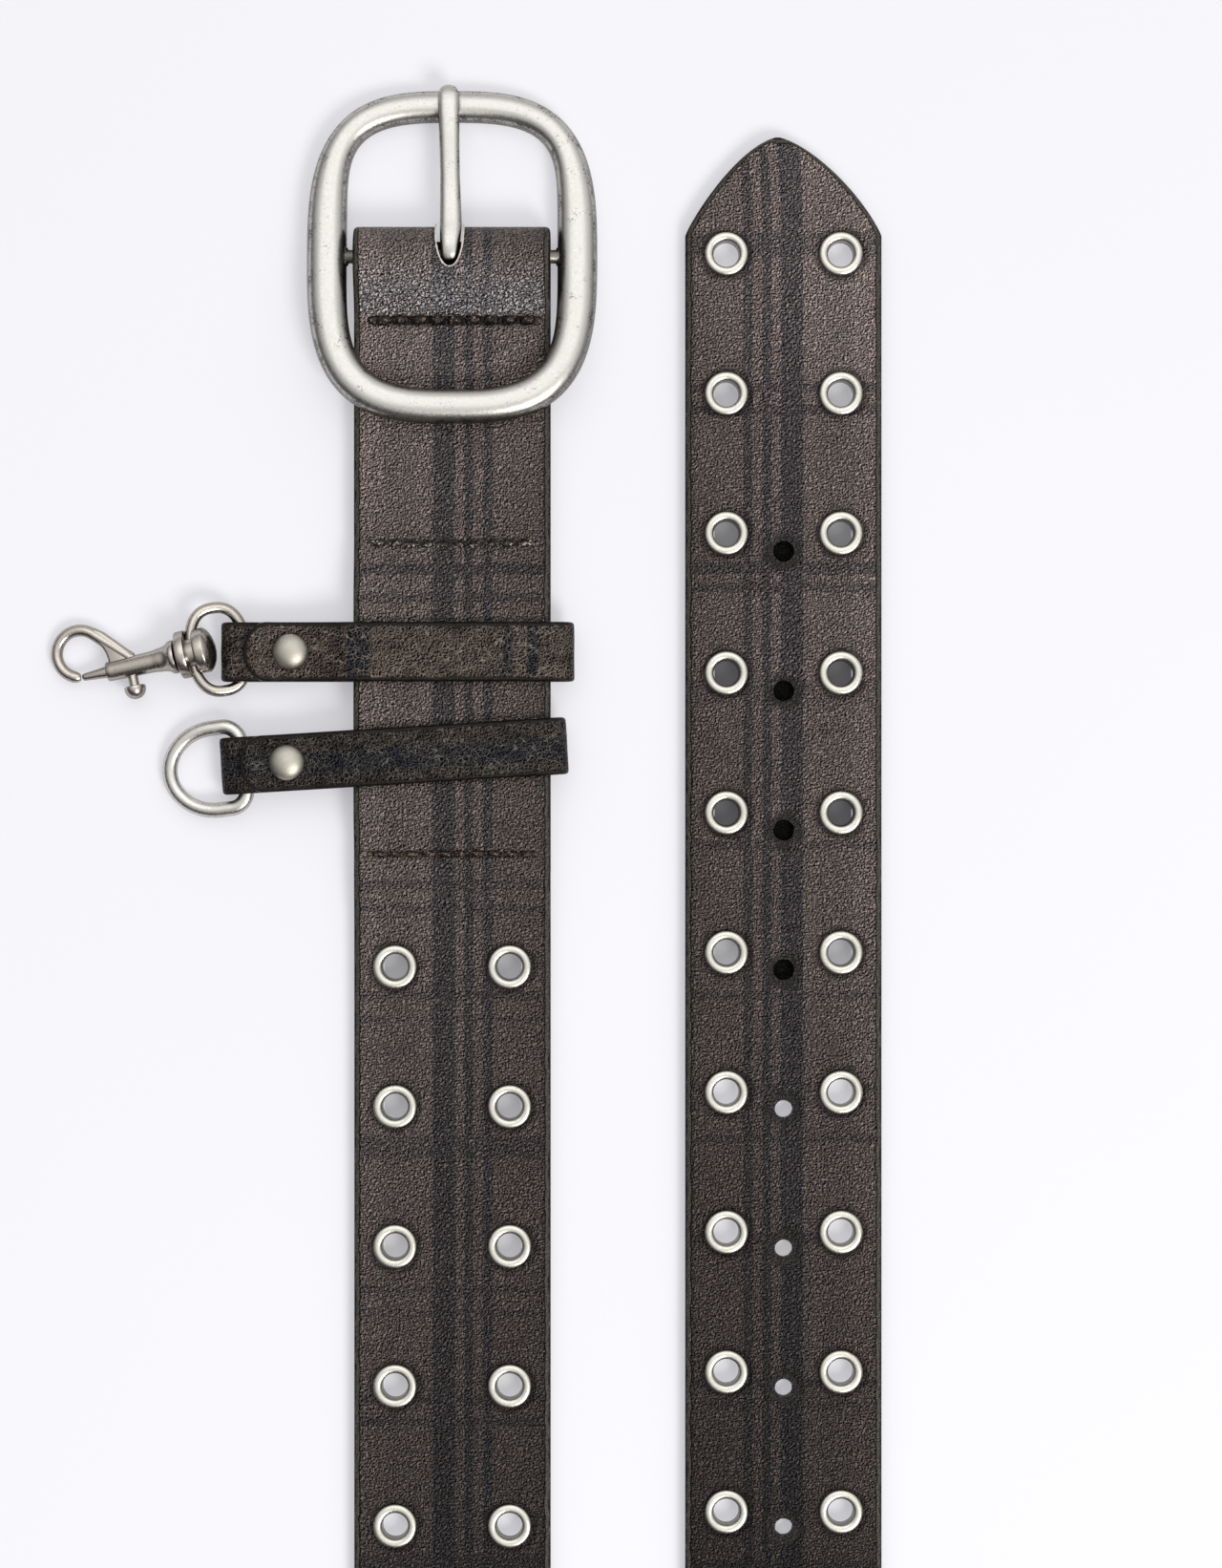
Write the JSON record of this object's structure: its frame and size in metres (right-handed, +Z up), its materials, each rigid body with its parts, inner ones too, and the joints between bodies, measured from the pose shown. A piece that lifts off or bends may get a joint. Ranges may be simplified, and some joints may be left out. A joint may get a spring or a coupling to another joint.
{
  "type": "studded belt",
  "caption": "Flat leather belt with a centre-bar buckle, rows of rolled eyelets, and looped side straps that hold a snap hook and a D-ring.",
  "frame": {"origin": "under the middle of the belt's box, on the surface that it lies on", "axes": "+Y along the strands towards the buckle and the tip, +Z up out of the belt's face, +X from the buckle strand to the tip strand"},
  "size_m": [0.1692, 0.5212, 0.0401],
  "materials": {
    "leather": "matt grained, printed check",
    "dark_leather": "satin, creased",
    "aged_nickel": "aged nickel plating",
    "satin_nickel": "satin nickel plating",
    "eyelet_nickel": "bright satin nickel"
  },
  "bodies": {
    "strap_side": {"strap": "leather", "eyelet_01": "eyelet_nickel", "eyelet_02": "eyelet_nickel", "eyelet_03": "eyelet_nickel", "eyelet_04": "eyelet_nickel", "eyelet_05": "eyelet_nickel", "eyelet_06": "eyelet_nickel", "eyelet_07": "eyelet_nickel", "eyelet_08": "eyelet_nickel", "eyelet_09": "eyelet_nickel", "eyelet_10": "eyelet_nickel", "eyelet_11": "eyelet_nickel", "eyelet_12": "eyelet_nickel", "eyelet_13": "eyelet_nickel", "eyelet_14": "eyelet_nickel", "eyelet_15": "eyelet_nickel", "eyelet_16": "eyelet_nickel", "eyelet_17": "eyelet_nickel", "eyelet_18": "eyelet_nickel", "eyelet_19": "eyelet_nickel", "eyelet_20": "eyelet_nickel", "eyelet_21": "eyelet_nickel", "eyelet_22": "eyelet_nickel", "eyelet_23": "eyelet_nickel", "eyelet_24": "eyelet_nickel", "eyelet_25": "eyelet_nickel", "eyelet_26": "eyelet_nickel", "eyelet_27": "eyelet_nickel", "eyelet_28": "eyelet_nickel", "eyelet_29": "eyelet_nickel", "eyelet_30": "eyelet_nickel", "hook_strap": "dark_leather", "ring_strap": "dark_leather", "hook_rivet": "satin_nickel", "ring_rivet": "satin_nickel", "oval_ring": "satin_nickel", "swivel_drum": "satin_nickel"},
    "buckle": {"buckle_frame": "aged_nickel", "buckle_bar": "aged_nickel"},
    "tongue": {"prong": "aged_nickel"},
    "ring": {"d_ring": "satin_nickel"},
    "hook": {"hook_body": "satin_nickel"},
    "bolt": {"hook_bolt": "satin_nickel"}
  },
  "joints": [
    {"name": "buckle_turn", "type": "hinge", "parent": "strap_side", "child": "buckle", "pos_m": [-0.00278, 0.22583, 0.0047], "axis": [-1, 0, 0], "range_deg": [0, 120]},
    {"name": "prong_lift", "type": "hinge", "parent": "buckle", "child": "tongue", "pos_m": [-0.00278, 0.22583, 0.0047], "axis": [1, 0, 0], "range_deg": [0, 80]},
    {"name": "d_ring_swing", "type": "hinge", "parent": "strap_side", "child": "ring", "pos_m": [-0.04522, 0.12253, 0.00375], "axis": [-0.061, 0.9981, 0], "range_deg": [-140, 155]},
    {"name": "hook_swivel", "type": "hinge", "parent": "strap_side", "child": "hook", "pos_m": [-0.07297, 0.14153, 0.00289], "axis": [0.9681, 0.2128, 0.1323], "continuous": true},
    {"name": "bolt_slide", "type": "slide", "parent": "hook", "child": "bolt", "axis": [0.9681, 0.2128, 0.1323], "range_m": [0, 0.0045], "stiffness_N_per_m": 150, "springref_m": -0.004}
  ]
}
